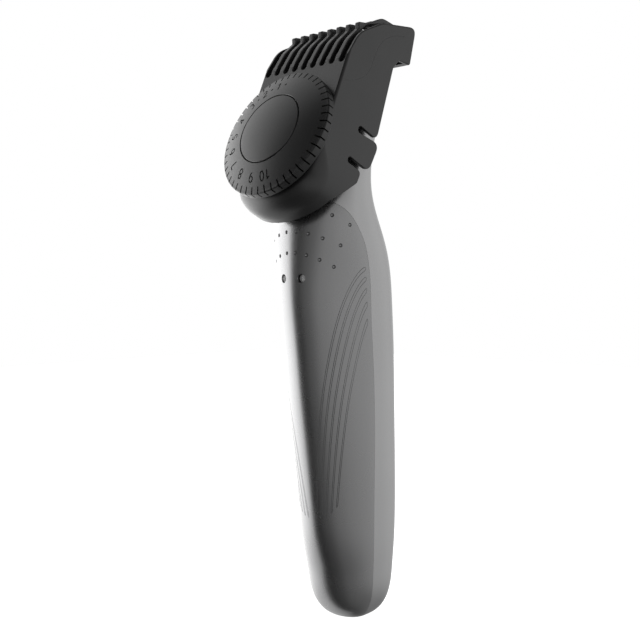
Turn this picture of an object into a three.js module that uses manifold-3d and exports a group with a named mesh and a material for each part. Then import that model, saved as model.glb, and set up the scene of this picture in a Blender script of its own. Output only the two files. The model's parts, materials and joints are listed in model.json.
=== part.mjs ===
// Beard trimmer with an adjustable comb hood, modelled in millimetres with +Z up.
// The origin is the centre of the small flat at the handle's lower end. -Y is the front, where the
// comb's dial sits, and +X is the trimmer's own left side.
import * as THREE from 'three';
import { mergeVertices } from 'three/addons/utils/BufferGeometryUtils.js';
import Module from 'manifold-3d';

const wasm = await Module();
wasm.setup();

// ---- Driving dimensions: handle -------------------------------------------------------------
// Horizontal sections of the handle: height, half width, front, widest line and rear (all mm).
const HANDLE_SECTIONS = [
  { z: 18, half: 13.6, front: -15.8, wide: -3.8, rear: 12.7 },
  { z: 26, half: 14.0, front: -18.0, wide: -4.2, rear: 13.5 },
  { z: 34, half: 14.2, front: -19.4, wide: -4.6, rear: 13.8 },
  { z: 48, half: 14.6, front: -21.3, wide: -5.4, rear: 13.3 },
  { z: 61, half: 15.0, front: -23.1, wide: -6.2, rear: 12.7 },
  { z: 74, half: 15.4, front: -25.0, wide: -6.9, rear: 12.3 },
  { z: 94, half: 15.9, front: -27.5, wide: -8.0, rear: 10.8 },
  { z: 107, half: 16.0, front: -29.3, wide: -8.8, rear: 10.3 },
  { z: 120, half: 16.6, front: -29.5, wide: -13.0, rear: 8.2 },
  { z: 127, half: 16.7, front: -29.5, wide: -15.5, rear: 5.6 },
  { z: 133.5, half: 16.3, front: -29.2, wide: -17.0, rear: 2.2 },
  { z: 140, half: 15.8, front: -28.3, wide: -16.5, rear: -0.9 },
  { z: 148, half: 15.3, front: -26.5, wide: -14.5, rear: -2.5 },
  { z: 160.8, half: 15.0, front: -20.6, wide: -12.0, rear: 0.5 },
  { z: 170, half: 15.0, front: -16.4, wide: -9.0, rear: 2.2 },
  { z: 187, half: 15.0, front: -9.6, wide: -4.6, rear: 4.6 },
];
const FRONT_POWER = 2;
const REAR_POWER = 3;
const SECTION_STEPS = 32;
const WALL = 1.8;
const END_POWER = 2.3;
const END_STEPS = 5;
const END_FLAT = 0.28;
const END_DROP = 0.42;
const GAP = 0.3;

// The seam between front shell and rear shell in side view: y, z from the bottom to the arch's top.
const SEAM = [[-4.2, -2], [-4.6, 18], [-5.3, 44], [-5.7, 65], [-7.0, 80], [-8.7, 101], [-9.5, 111.5],
  [-12.5, 124.3], [-17.6, 132.3], [-23.7, 137.7], [-34, 144]];

// ---- Driving dimensions: head, dial and comb ------------------------------------------------
const HEAD_TILT = THREE.MathUtils.degToRad(23.5);
const DIAL_CENTRE = [0, -39, 160];
const DIAL_RADIUS = 21.3;
const DIAL_DOME_RADIUS = 50;
const DIAL_APEX = -1.4;
const DIAL_BACK = 5.2;
const CAP_RADIUS = 11.7;
const NOTCH_COUNT = 48;
const COMB_TRAVEL = 9.5;
const RACK_PITCH = 1.8;
const PINION_TEETH = 10;
const PITCH_RADIUS = (RACK_PITCH * PINION_TEETH) / (2 * Math.PI);
const PRESSURE_ANGLE = THREE.MathUtils.degToRad(25);
const TOOTH_WIDTH = 0.8;
const HOOD_HALF = 18.4;
const HOOD_INNER_HALF = 17.4;
const HOOD_FRONT = 5.6;
const HOOD_FRONT_INNER = 7.4;
const CHIN_RADIUS = 24.6;
const CHIN_WALL = 1.5;
const RIB_PITCH = 4;
const RIB_WIDTH = 1.9;
const SLOT_COUNT = 9;
const SLOT_BOTTOM = 25;

// ---- Driving dimensions: blade and drive ----------------------------------------------------
const BLADE_CENTRE = [0, -2.5, 193.5];
const BLADE_TILT = THREE.MathUtils.degToRad(7);
const BLADE_HALF_WIDTH = 17;
const BLADE_HALF_DEPTH = 9;
const TOOTH_PITCH = 2;
const NECK_TOP = -9;
const MOTOR_Y = -10;
const LEVER_PIVOT_Z = 140;
const ECCENTRICITY = 0.5;
const FINGER_Y = -2.4;

// ---- Materials ------------------------------------------------------------------------------
const MATERIALS = {
  satin_grey: new THREE.MeshStandardMaterial({ color: 0x8b8b8c, roughness: 0.42, metalness: 0.35 }),
  light_grey: new THREE.MeshStandardMaterial({ color: 0xa6a6a7, roughness: 0.45, metalness: 0.35 }),
  black_matte: new THREE.MeshStandardMaterial({ color: 0x2b2b2c, roughness: 0.6, metalness: 0 }),
  dark_plastic: new THREE.MeshStandardMaterial({ color: 0x1c1c1d, roughness: 0.5, metalness: 0 }),
  white_plastic: new THREE.MeshStandardMaterial({ color: 0xd8d8d4, roughness: 0.5, metalness: 0 }),
  rubber: new THREE.MeshStandardMaterial({ color: 0x202020, roughness: 0.85, metalness: 0 }),
  steel: new THREE.MeshStandardMaterial({ color: 0xc4c6c8, roughness: 0.25, metalness: 1 }),
  brass: new THREE.MeshStandardMaterial({ color: 0xc9a24a, roughness: 0.35, metalness: 1 }),
  board_green: new THREE.MeshStandardMaterial({ color: 0x1f5c38, roughness: 0.55, metalness: 0 }),
  cell_sleeve: new THREE.MeshStandardMaterial({ color: 0x2f5fa8, roughness: 0.4, metalness: 0 }),
  lens_clear: new THREE.MeshStandardMaterial({ color: 0xe6e6e6, roughness: 0.15, metalness: 0 }),
};

// ---- Solid helpers --------------------------------------------------------------------------
function signedVolume(position, index) {
  const a = new THREE.Vector3();
  const b = new THREE.Vector3();
  const c = new THREE.Vector3();
  let sum = 0;
  for (let i = 0; i < index.length; i += 3) {
    a.fromBufferAttribute(position, index[i]);
    b.fromBufferAttribute(position, index[i + 1]);
    c.fromBufferAttribute(position, index[i + 2]);
    sum += a.dot(b.cross(c)) / 6;
  }
  return sum;
}

function toSolid(geometry) {
  geometry.deleteAttribute('normal');
  geometry.deleteAttribute('uv');
  const merged = mergeVertices(geometry, 1e-4);
  const index = Array.from(merged.index.array);
  const triangles = [];
  for (let i = 0; i < index.length; i += 3) {
    const [a, b, c] = [index[i], index[i + 1], index[i + 2]];
    if (a !== b && b !== c && c !== a) triangles.push([a, b, c]);
  }
  const inward = signedVolume(merged.attributes.position, triangles.flat()) < 0;
  const triVerts = new Uint32Array(triangles.flatMap(([a, b, c]) => (inward ? [a, c, b] : [a, b, c])));
  const vertProperties = new Float32Array(merged.attributes.position.array);
  return new wasm.Manifold(new wasm.Mesh({ numProp: 3, vertProperties, triVerts }));
}

function toGeometry(solid) {
  const mesh = solid.getMesh();
  const geometry = new THREE.BufferGeometry();
  geometry.setAttribute('position', new THREE.BufferAttribute(mesh.vertProperties, 3));
  geometry.setIndex(new THREE.BufferAttribute(mesh.triVerts, 1));
  geometry.computeVertexNormals();
  return geometry;
}

function box(x0, x1, y0, y1, z0, z1) {
  const geometry = new THREE.BoxGeometry(x1 - x0, y1 - y0, z1 - z0);
  geometry.translate((x0 + x1) / 2, (y0 + y1) / 2, (z0 + z1) / 2);
  return toSolid(geometry);
}

// A round rod along 'x', 'y' or 'z' from one coordinate to the other, centred on the other two.
function rod(axis, radius, from, to, centre = [0, 0, 0], steps = 24) {
  const geometry = new THREE.CylinderGeometry(radius, radius, Math.abs(to - from), steps);
  if (axis === 'x') geometry.rotateZ(Math.PI / 2);
  if (axis === 'z') geometry.rotateX(Math.PI / 2);
  const place = { x: 0, y: 1, z: 2 }[axis];
  const shift = [...centre];
  shift[place] = (from + to) / 2;
  geometry.translate(...shift);
  return toSolid(geometry);
}

// A ring about the Y axis, as an outer radius, an inner radius and two heights.
function ringAboutY(outer, inner, y0, y1, centre = [0, 0, 0]) {
  const hole = rod('y', inner, y0 - 1, y1 + 1, centre, 32);
  return rod('y', outer, y0, y1, centre, 32).subtract(hole);
}

// A closed outline whose corners [u, v, radius] are rounded where a radius is given.
function roundedShape(corners) {
  const shape = new THREE.Shape();
  const count = corners.length;
  corners.forEach(([u, v, radius = 0], i) => {
    const corner = new THREE.Vector2(u, v);
    const before = new THREE.Vector2(...corners[(i + count - 1) % count].slice(0, 2));
    const after = new THREE.Vector2(...corners[(i + 1) % count].slice(0, 2));
    const inward = before.clone().sub(corner).normalize();
    const outward = after.clone().sub(corner).normalize();
    const halfAngle = inward.angleTo(outward) / 2;
    const reach = radius > 0 ? radius / Math.tan(halfAngle) : 0;
    const start = corner.clone().addScaledVector(inward, reach);
    const end = corner.clone().addScaledVector(outward, reach);
    if (i === 0) shape.moveTo(start.x, start.y);
    else shape.lineTo(start.x, start.y);
    if (reach > 0) shape.quadraticCurveTo(corner.x, corner.y, end.x, end.y);
  });
  shape.closePath();
  return shape;
}

function extrude(shape, depth, steps) {
  return new THREE.ExtrudeGeometry(shape, { depth, bevelEnabled: false, curveSegments: steps });
}

// A shape drawn in Y and Z, from x0 to x1.
function prismAlongX(shape, x0, x1, steps = 5) {
  const geometry = extrude(shape, x1 - x0, steps);
  const basis = new THREE.Matrix4().makeBasis(
    new THREE.Vector3(0, 1, 0), new THREE.Vector3(0, 0, 1), new THREE.Vector3(1, 0, 0));
  geometry.applyMatrix4(basis);
  geometry.translate(x0, 0, 0);
  return toSolid(geometry);
}

// A shape drawn in X and Z, from y0 to y1.
function prismAlongY(shape, y0, y1, steps = 12) {
  const geometry = extrude(shape, y1 - y0, steps);
  geometry.rotateX(Math.PI / 2);
  geometry.translate(0, y1, 0);
  return toSolid(geometry);
}

// A shape drawn in X and Y, from z0 to z1.
function prismAlongZ(shape, z0, z1, steps = 8) {
  const geometry = extrude(shape, z1 - z0, steps);
  geometry.translate(0, 0, z0);
  return toSolid(geometry);
}

// A closed skin through rings of points, each ring with the same number of points.
function loft(rings) {
  const count = rings[0].length;
  const points = rings.flat();
  const index = [];
  for (let r = 0; r < rings.length - 1; r += 1) {
    for (let i = 0; i < count; i += 1) {
      const a = r * count + i;
      const b = r * count + ((i + 1) % count);
      index.push(a, b, b + count, a, b + count, a + count);
    }
  }
  [[0, -1], [rings.length - 1, 1]].forEach(([r, side]) => {
    const middle = new THREE.Vector3();
    rings[r].forEach((point) => middle.addScaledVector(point, 1 / count));
    points.push(middle);
    for (let i = 0; i < count; i += 1) {
      const a = r * count + i;
      const b = r * count + ((i + 1) % count);
      index.push(...(side > 0 ? [a, b, points.length - 1] : [b, a, points.length - 1]));
    }
  });
  const geometry = new THREE.BufferGeometry();
  geometry.setAttribute('position', new THREE.Float32BufferAttribute(points.flatMap((p) => p.toArray()), 3));
  geometry.setIndex(index);
  return toSolid(geometry);
}

function lathe(profile, steps) {
  const points = profile.map(([radius, height]) => new THREE.Vector2(radius, height));
  return toSolid(new THREE.LatheGeometry(points, steps));
}

function place(solid, position, tilt) {
  return solid.rotate([THREE.MathUtils.radToDeg(tilt), 0, 0]).translate(position);
}

function node(group, name, material, solid) {
  const mesh = new THREE.Mesh(toGeometry(solid), MATERIALS[material]);
  mesh.name = name;
  group.add(mesh);
  return mesh;
}

// ---- Handle shape ---------------------------------------------------------------------------
// One horizontal section, with an elliptical front half and a squarer rear half, moved in by inset.
function sectionRing({ z, half, front, wide, rear }, inset = 0) {
  const ring = [];
  for (let i = 0; i < SECTION_STEPS; i += 1) {
    const angle = (i / SECTION_STEPS) * 2 * Math.PI;
    const [c, s] = [Math.cos(angle), Math.sin(angle)];
    const power = s < 0 ? FRONT_POWER : REAR_POWER;
    const depth = s < 0 ? wide - front : rear - wide;
    const x = (half - inset) * Math.sign(c) * Math.abs(c) ** (2 / power);
    const y = wide + (depth - inset) * Math.sign(s) * Math.abs(s) ** (2 / power);
    ring.push(new THREE.Vector3(x, y, z));
  }
  return ring;
}

// The rounded lower end: the lowest section shrinks towards its middle along a superellipse.
function endRings(inset) {
  const base = HANDLE_SECTIONS[0];
  const middle = (base.front + base.rear) / 2;
  const start = Math.asin(END_FLAT ** (END_POWER / 2));
  const rings = [];
  for (let i = 0; i < END_STEPS; i += 1) {
    const angle = start + ((Math.PI / 2 - start) * i) / END_STEPS;
    const scale = Math.sin(angle) ** (2 / END_POWER);
    const height = (base.z + END_DROP) * (1 - Math.cos(angle) ** (2 / END_POWER)) - END_DROP;
    const section = {
      z: Math.max(0, height) + inset,
      half: base.half * scale,
      front: middle + (base.front - middle) * scale,
      wide: middle + (base.wide - middle) * scale,
      rear: middle + (base.rear - middle) * scale,
    };
    if (section.half > 2 * inset && section.z < base.z) rings.push(sectionRing(section, inset));
  }
  return rings;
}

function handleSolid(inset) {
  const upper = HANDLE_SECTIONS.map((section) => sectionRing(section, inset));
  return loft([...endRings(inset), ...upper]);
}

// Everything in front of the seam, moved back or forward by half the joint gap.
function seamRegion(shift) {
  const shape = new THREE.Shape();
  const points = SEAM.map(([y, z]) => new THREE.Vector2(y + shift, z + shift));
  shape.moveTo(-80, points[0].y);
  shape.lineTo(points[0].x, points[0].y);
  shape.splineThru(points.slice(1));
  shape.lineTo(-80, points[points.length - 1].y + 20);
  shape.closePath();
  return prismAlongX(shape, -30, 30, 2);
}

const trimmer = new THREE.Group();
const handle = new THREE.Group();
const blade = new THREE.Group();
const head = new THREE.Group();
trimmer.add(handle, blade, head);
blade.position.set(...BLADE_CENTRE);
blade.rotation.x = BLADE_TILT;
head.position.set(...DIAL_CENTRE);
head.rotation.x = -HEAD_TILT;

const SOCKET = { half: 5.2, y0: 4.6, y1: 10.2, z1: 14, pocketHalf: 3.7, pocketY0: 5.2, pocketY1: 9.6 };
const BUTTON = { z: 101, radius: 5.5, sealRadius: 6.7, face: 11.1, back: 7.2 };
const LENS = { x: 3.82, z: 113.9, radius: 1.15 };

function makeShells() {
  const outer = handleSolid(0);
  const cavity = handleSolid(WALL);
  const aboveNeck = place(box(-30, 30, -40, 40, NECK_TOP, 60), BLADE_CENTRE, BLADE_TILT);
  const shell = outer.subtract(cavity).subtract(aboveNeck);
  const socketHole = box(-SOCKET.half - GAP, SOCKET.half + GAP, SOCKET.y0 - GAP, SOCKET.y1 + GAP, -5, SOCKET.z1);
  const buttonHole = rod('y', BUTTON.sealRadius + GAP, 0, 20, [0, 0, BUTTON.z], 40);
  let front = shell.intersect(seamRegion(-GAP / 2));
  for (const side of [-1, 1]) {
    front = front.subtract(rod('y', LENS.radius + 0.1, -40, -20, [side * LENS.x, 0, LENS.z]));
  }
  node(handle, 'front_shell', 'satin_grey', front);
  const rear = shell.subtract(seamRegion(GAP / 2)).subtract(socketHole).subtract(buttonHole);
  node(handle, 'rear_shell', 'light_grey', rear);
  const slab = place(box(-30, 30, -40, 40, NECK_TOP - 3, NECK_TOP - 0.1), BLADE_CENTRE, BLADE_TILT);
  const fingerHole = rod('z', 4.0, 170, 200, [0, FINGER_Y, 0]);
  node(handle, 'neck_cap', 'dark_plastic', handleSolid(WALL + GAP).intersect(slab).subtract(fingerHole));
}

function makeSocket() {
  const block = box(-SOCKET.half, SOCKET.half, SOCKET.y0, SOCKET.y1, 0, SOCKET.z1 - GAP);
  const pocket = box(-SOCKET.pocketHalf, SOCKET.pocketHalf, SOCKET.pocketY0, SOCKET.pocketY1, -1, 11);
  const body = block.intersect(handleSolid(0.6)).subtract(pocket);
  const pinTop = 15.6;
  let drilled = body;
  for (const side of [-1, 1]) {
    drilled = drilled.subtract(rod('z', 0.75, 10, 20, [side * 1.8, 7.4, 0], 12));
  }
  node(handle, 'charging_socket', 'dark_plastic', drilled);
  [-1, 1].forEach((side, i) => {
    node(handle, `socket_pin_${i + 1}`, 'brass', rod('z', 0.6, 8, pinTop, [side * 1.8, 7.4, 0], 12));
  });
}

function makePower() {
  const cellY = 2;
  node(handle, 'battery_cell', 'cell_sleeve', rod('z', 7.1, 22, 72, [0, cellY, 0], 32));
  node(handle, 'battery_tab_bottom', 'steel', box(-2.5, 2.5, -4, 7, 20.9, 21.3));
  node(handle, 'battery_tab_top', 'steel', box(-2.5, 2.5, -4, 7, 72.6, 73));
  let board = box(-7.2, 7.2, -9.6, -8.4, 20, 74);
  board = board.add(box(-5, 5, -11.6, -9.5, 52, 62)).add(box(-6, -2, -11, -9.5, 30, 38));
  node(handle, 'circuit_board', 'board_green', board);
  const indicatorBoard = box(-7, 7, -24.4, -23.4, 108, 119.5).intersect(handleSolid(WALL + GAP));
  node(handle, 'indicator_board', 'board_green', indicatorBoard);
  [['left', 1], ['right', -1]].forEach(([name, side]) => {
    const lens = rod('y', LENS.radius, -28.2, -24.8, [side * LENS.x, 0, LENS.z], 16);
    node(handle, `indicator_lens_${name}`, 'lens_clear', lens);
  });
}

const CHASSIS_SCREWS = [[-9.2, 26], [9.2, 26], [-9.2, 75], [9.2, 75]];

function makeChassis() {
  let chassis = box(-11, 11, -7.4, -5.6, 14, 80);
  chassis = chassis.add(box(-11, 11, -20, 6, 78, 80));
  chassis = chassis.add(box(-10, 10, -0.9, 0.7, 78, 126));
  chassis = chassis.add(box(-9, 9, -19, 0.7, 124, 126));
  chassis = chassis.subtract(box(-5, 5, -15, -5, 120, 130)).intersect(handleSolid(WALL + GAP));
  for (const [x, z] of CHASSIS_SCREWS) {
    chassis = chassis.subtract(rod('y', 1.25, -12, 0, [x, 0, z], 16));
  }
  node(handle, 'chassis', 'white_plastic', chassis);
  CHASSIS_SCREWS.forEach(([x, z], i) => {
    const shank = rod('y', 1, -8, -3.4, [x, 0, z], 16);
    const screw = shank.add(rod('y', 1.6, -9.2, -7.7, [x, 0, z], 16));
    node(handle, `chassis_screw_${i + 1}`, 'steel', screw);
  });
}

function makeDrive() {
  const motor = rod('z', 8, 82, 107, [0, MOTOR_Y, 0], 32).add(rod('z', 3, 106.9, 108, [0, MOTOR_Y, 0]));
  node(handle, 'motor_can', 'steel', motor);
  node(handle, 'motor_shaft', 'steel', rod('z', 1, 108.3, 112.4, [0, MOTOR_Y, 0], 16));
  const hub = rod('z', 3.5, 109.6, 113.2, [0, MOTOR_Y, 0]).subtract(rod('z', 1.15, 109, 112.7, [0, MOTOR_Y, 0], 16));
  const crankPin = rod('z', 1, 113.1, 118.5, [ECCENTRICITY, MOTOR_Y, 0], 16);
  node(handle, 'eccentric_cam', 'white_plastic', hub.add(crankPin));

  const leverOutline = roundedShape([[-12, 117, 0], [-8, 117, 0], [-8, 150, 3], [-3.6, 166, 3],
    [-1.1, 180, 2], [-1.1, 190.6, 0], [-3.7, 190.6, 0], [-3.7, 180, 2], [-6.4, 168, 3], [-12, 151, 3]]);
  let lever = prismAlongX(leverOutline, -1.4, 1.4);
  lever = lever.add(rod('y', 3.4, -12, -8, [0, 0, LEVER_PIVOT_Z]));
  lever = lever.add(box(-3.8, 3.8, -12.6, -7.4, 115.5, 122));
  lever = lever.subtract(box(-2.2, 2.2, -13, -7, 110, 119.6));
  lever = lever.subtract(rod('y', 1.25, -20, 0, [0, 0, LEVER_PIVOT_Z]));
  node(handle, 'drive_lever', 'white_plastic', lever);
  node(handle, 'lever_pivot_pin', 'steel', rod('y', 1.2, -16.2, -3.8, [0, 0, LEVER_PIVOT_Z]));
  let bracket = box(-8, 8, -15.5, -4.5, 134, 146).subtract(box(-5.2, 5.2, -12.7, -7.3, 130, 150));
  bracket = bracket.subtract(rod('y', 1.45, -20, 0, [0, 0, LEVER_PIVOT_Z]));
  node(handle, 'lever_bracket', 'dark_plastic', bracket.intersect(handleSolid(WALL + GAP)));
  const seal = rod('z', 3.7, 181, 184.2, [0, FINGER_Y, 0]).subtract(rod('z', 3.0, 180, 186, [0, FINGER_Y, 0]));
  node(handle, 'neck_seal', 'rubber', seal);
}

function makeButton() {
  const centre = [0, 0, BUTTON.z];
  const cap = rod('y', BUTTON.radius, BUTTON.back, BUTTON.face, centre, 40);
  node(handle, 'power_button', 'satin_grey', cap.add(rod('y', 1.5, 5.9, BUTTON.back + 0.1, centre, 16)));
  node(handle, 'button_seal', 'rubber', ringAboutY(BUTTON.sealRadius, BUTTON.radius + 0.2, 7.6, 10.4, centre));
  node(handle, 'button_switch', 'dark_plastic', box(-3, 3, 1, 5.2, BUTTON.z - 3, BUTTON.z + 3));
}

// ---- Blade unit, in a frame whose z = 0 is the guard's skin side ----------------------------
// A thin plate with a row of teeth along its front and rear edges.
function toothedPlate(halfWidth, halfDepth, toothDepth, toothWidth, z0, z1) {
  let plate = box(-halfWidth, halfWidth, -halfDepth, halfDepth, z0, z1);
  const last = Math.floor((halfWidth - toothWidth) / TOOTH_PITCH);
  for (let i = -last; i <= last; i += 1) {
    const x = i * TOOTH_PITCH;
    const half = (TOOTH_PITCH - toothWidth) / 2;
    for (const side of [-1, 1]) {
      const [y0, y1] = [side * (halfDepth - toothDepth), side * (halfDepth + 1)].sort((a, b) => a - b);
      plate = plate.subtract(box(x - half, x + half, y0, y1, z0 - 1, z1 + 1));
    }
  }
  return plate;
}

function makeBlade() {
  const guard = toothedPlate(BLADE_HALF_WIDTH, BLADE_HALF_DEPTH, 3, 1.1, -0.9, 0);
  node(blade, 'guard_plate', 'steel', guard);
  node(blade, 'cutter_plate', 'steel', toothedPlate(14.4, 7.6, 2.2, 1.1, -1.8, -1.2));
  const carrierSlot = box(-1.7, 1.7, -2.4, 2.4, -5, -2.4);
  const carrier = box(-9, 9, -4, 4, -4.2, -2.1).subtract(carrierSlot);
  node(blade, 'cutter_carrier', 'white_plastic', carrier);
  node(blade, 'blade_spring', 'steel', box(-13, 13, -4.6, 4.6, -5.1, -4.5).subtract(box(-7, 7, -3.4, 3.4, -6, -4)));
  let frame = box(-16.8, 16.8, -6.4, 6.4, -8.6, -5.5);
  for (const side of [-1, 1]) {
    const [x0, x1] = [side * 15.9, side * 16.8].sort((a, b) => a - b);
    frame = frame.add(box(x0, x1, -6.4, 6.4, -5.6, -1.2));
    const [y0, y1] = [side * 5.5, side * 6.4].sort((a, b) => a - b);
    frame = frame.add(box(-16.8, 16.8, y0, y1, -5.6, -2.2));
  }
  node(blade, 'blade_frame', 'black_matte', frame.subtract(box(-3.4, 3.4, -3.4, 3.4, -10, -5)));
}

// ---- Comb, in the tilted head frame: x across, y backwards, z up along the head --------------
function domeHeight(radius) {
  return DIAL_APEX + radius ** 2 / (2 * DIAL_DOME_RADIUS);
}

function makeDial() {
  const webFront = 1.6;
  const grooveOuter = CAP_RADIUS + 0.35;
  const dome = [12.05, 15, 18, 20.8].map((radius) => [radius, domeHeight(radius)]);
  const profile = [[0, webFront], [grooveOuter, webFront], ...dome, [DIAL_RADIUS, domeHeight(DIAL_RADIUS) + 0.6],
    [DIAL_RADIUS, DIAL_BACK], [19.7, DIAL_BACK], [19.7, 4.1], [16, 3.4], [12, 3.2], [5, 3.2], [5, 7.5],
    [1.2, 7.5], [1.2, 4.2], [0, 4.2]];
  let wheel = lathe(profile, 48);
  const notch = box(19.3, 23, -1, DIAL_BACK - 0.7, -0.2, 0.2);
  for (let i = 0; i < NOTCH_COUNT; i += 1) {
    wheel = wheel.subtract(notch.rotate([0, ((i + 0.5) * 360) / NOTCH_COUNT, 0]));
  }
  node(head, 'dial_wheel', 'black_matte', wheel);
  const capDome = [0, 4, 8, CAP_RADIUS - 0.2].map((radius) => [radius, domeHeight(radius)]);
  const cap = lathe([...capDome, [CAP_RADIUS, domeHeight(CAP_RADIUS) + 0.2], [CAP_RADIUS, webFront - GAP],
    [0, webFront - GAP]], 36);
  node(head, 'dial_cap', 'black_matte', cap);
  const screw = rod('y', 1, 4.6, 10.7, [0, 0, 0], 16).add(rod('y', 2.3, 10.6, 11.6, [0, 0, 0]));
  node(head, 'dial_screw', 'steel', screw);
}

// The outline of an involute pinion whose gap, not a tooth, points along +x.
function pinionShape(tipRadius, rootRadius) {
  const baseRadius = PITCH_RADIUS * Math.cos(PRESSURE_ANGLE);
  const involute = (angle) => Math.tan(angle) - angle;
  const halfTooth = (radius) => {
    const angle = Math.acos(Math.min(1, baseRadius / radius));
    return TOOTH_WIDTH / (2 * PITCH_RADIUS) + involute(PRESSURE_ANGLE) - involute(angle);
  };
  const flankRadii = [rootRadius, baseRadius, 2.8, 3.0, 3.15, tipRadius];
  const shape = new THREE.Shape();
  for (let tooth = 0; tooth < PINION_TEETH; tooth += 1) {
    const middle = ((tooth + 0.5) * 2 * Math.PI) / PINION_TEETH;
    const rising = flankRadii.map((radius) => [radius, middle - halfTooth(radius)]);
    const falling = flankRadii.map((radius) => [radius, middle + halfTooth(radius)]).reverse();
    [...rising, ...falling].forEach(([radius, angle], i) => {
      const point = [radius * Math.cos(angle), radius * Math.sin(angle)];
      if (tooth === 0 && i === 0) shape.moveTo(...point);
      else shape.lineTo(...point);
    });
  }
  shape.closePath();
  return shape;
}

function makePinion() {
  const gear = prismAlongY(pinionShape(3.3, 2.2), 7.8, 10.2);
  node(head, 'dial_pinion', 'white_plastic', gear.subtract(rod('y', 1.2, 5, 12, [0, 0, 0], 16)));
}

// The plate that stays on the handle; the pinion climbs the rack along its window.
function makeCarrier() {
  const [y0, y1] = [7.9, 10.1];
  const half = 12.8;
  const bottom = -9.2;
  const top = 22.5;
  const outline = roundedShape([[-half, bottom, 3], [half, bottom, 3], [half, top, 3], [-half, top, 3]]);
  const rackTip = PITCH_RADIUS - 0.42;
  const rackRoot = 3.55;
  const window = new THREE.Path();
  const tipHalf = TOOTH_WIDTH / 2 - 0.42 * Math.tan(PRESSURE_ANGLE);
  const rootHalf = TOOTH_WIDTH / 2 + (rackRoot - PITCH_RADIUS) * Math.tan(PRESSURE_ANGLE);
  window.moveTo(-4.4, -5);
  window.lineTo(rackRoot, -5);
  for (let i = -2; i <= 7; i += 1) {
    const z = i * RACK_PITCH;
    window.lineTo(rackRoot, z - rootHalf);
    window.lineTo(rackTip, z - tipHalf);
    window.lineTo(rackTip, z + tipHalf);
    window.lineTo(rackRoot, z + rootHalf);
  }
  window.lineTo(rackRoot, 15.2);
  window.lineTo(-4.4, 15.2);
  window.closePath();
  outline.holes.push(window);
  let carrier = prismAlongY(outline, y0, y1);
  for (const side of [-1, 1]) {
    const [x0, x1] = [side * 5.5, side * 9.5].sort((a, b) => a - b);
    carrier = carrier.add(box(x0, x1, y1 - 0.1, 15.8, bottom, -6));
  }
  node(head, 'comb_carrier', 'dark_plastic', carrier);
}

// Side plate outline in y and z of the head frame, with its hook, two notches and the tab between.
const PLATE_CORNERS = [[HOOD_FRONT, -27], [HOOD_FRONT, 27.4, 12], [7.6, 36.5, 12], [15.9, 45.9, 12],
  [31.2, 54.8, 2.2], [32.7, 41.4, 0.8], [27.7, 39.9, 0.6], [26.2, 35.6, 1.5], [27.5, 10.9, 1.6],
  [18.6, 10.1, 1.0], [18.6, 7.4, 1.0], [29.7, 9.4, 2.6], [28.5, -1.5, 3.2], [17.8, -0.9, 0.9],
  [17.8, -3.4, 0.9], [25.6, -3.1, 1.6], [24.9, -7.3, 2.0], [17.1, -17.0, 2], [14.9, -27]];
const RIB_CORNERS = [[HOOD_FRONT, 20], [HOOD_FRONT, 27.4, 12], [7.2, 36.0, 6], [10.2, 44.4, 4],
  [19.6, 50.8, 7], [28.5, 53.6, 2], [30, 52], [24, 44], [8, 20]];
const CAVITY_CORNERS = [[HOOD_FRONT_INNER, -40], [HOOD_FRONT_INNER, 27.4, 10], [9.0, 35.6, 6],
  [12.6, 43.4, 4], [20.2, 49.0, 6], [31.1, 52.4, 1.2], [31.1, 20], [60, 20], [60, -40]];

// A front view outline: a rectangle whose lower end is an arc about the dial's axis.
function chinShape(half, radius, top) {
  const drop = -Math.sqrt(radius ** 2 - half ** 2);
  const shape = new THREE.Shape();
  shape.moveTo(-half, top);
  shape.lineTo(-half, drop);
  const side = Math.atan2(drop, half);
  shape.absarc(0, 0, radius, -Math.PI - side, side, false);
  shape.lineTo(half, top);
  shape.closePath();
  return shape;
}

function makeHood() {
  let hood = prismAlongX(roundedShape(PLATE_CORNERS), -HOOD_HALF, HOOD_HALF);
  const ribHalf = ((SLOT_COUNT - 2) / 2) * RIB_PITCH + RIB_WIDTH / 2;
  hood = hood.add(prismAlongX(roundedShape(RIB_CORNERS), -ribHalf, ribHalf));
  const cavity = prismAlongX(roundedShape(CAVITY_CORNERS), -HOOD_INNER_HALF, HOOD_INNER_HALF);
  const chinCavity = prismAlongY(chinShape(HOOD_INNER_HALF, CHIN_RADIUS - CHIN_WALL, 70), -5, 70);
  hood = hood.subtract(cavity.intersect(chinCavity));
  hood = hood.intersect(prismAlongY(chinShape(HOOD_HALF, CHIN_RADIUS, 70), -5, 60));
  for (let i = 0; i < SLOT_COUNT; i += 1) {
    const x = (i - (SLOT_COUNT - 1) / 2) * RIB_PITCH;
    const outermost = i === 0 || i === SLOT_COUNT - 1;
    const centre = outermost ? x + Math.sign(x) * 0.2 : x;
    const half = outermost ? 1.2 : (RIB_PITCH - RIB_WIDTH) / 2;
    hood = hood.subtract(box(centre - half, centre + half, 0, 28.6, SLOT_BOTTOM + half, 70));
    hood = hood.subtract(rod('y', half, 0, 12, [centre, 0, SLOT_BOTTOM + half], 12));
  }
  for (const side of [-1, 1]) {
    const [x0, x1] = [side * 13.2, side * 14.8].sort((a, b) => a - b);
    hood = hood.add(box(x0, x1, HOOD_FRONT_INNER - 0.1, 10.6, -8, 22));
  }
  hood = hood.subtract(rod('y', 5.4, 0, 12, [0, 0, 0], 32));
  node(head, 'comb_hood', 'black_matte', hood);
}

function makeDetent() {
  const spread = THREE.MathUtils.degToRad(28);
  const shape = new THREE.Shape();
  shape.absarc(0, 0, 15.5, Math.PI / 2 - spread, Math.PI / 2 + spread, false);
  shape.absarc(0, 0, 13.5, Math.PI / 2 + spread, Math.PI / 2 - spread, true);
  shape.closePath();
  node(head, 'detent_spring', 'steel', prismAlongY(shape, 4.7, 5.25));
}

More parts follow.
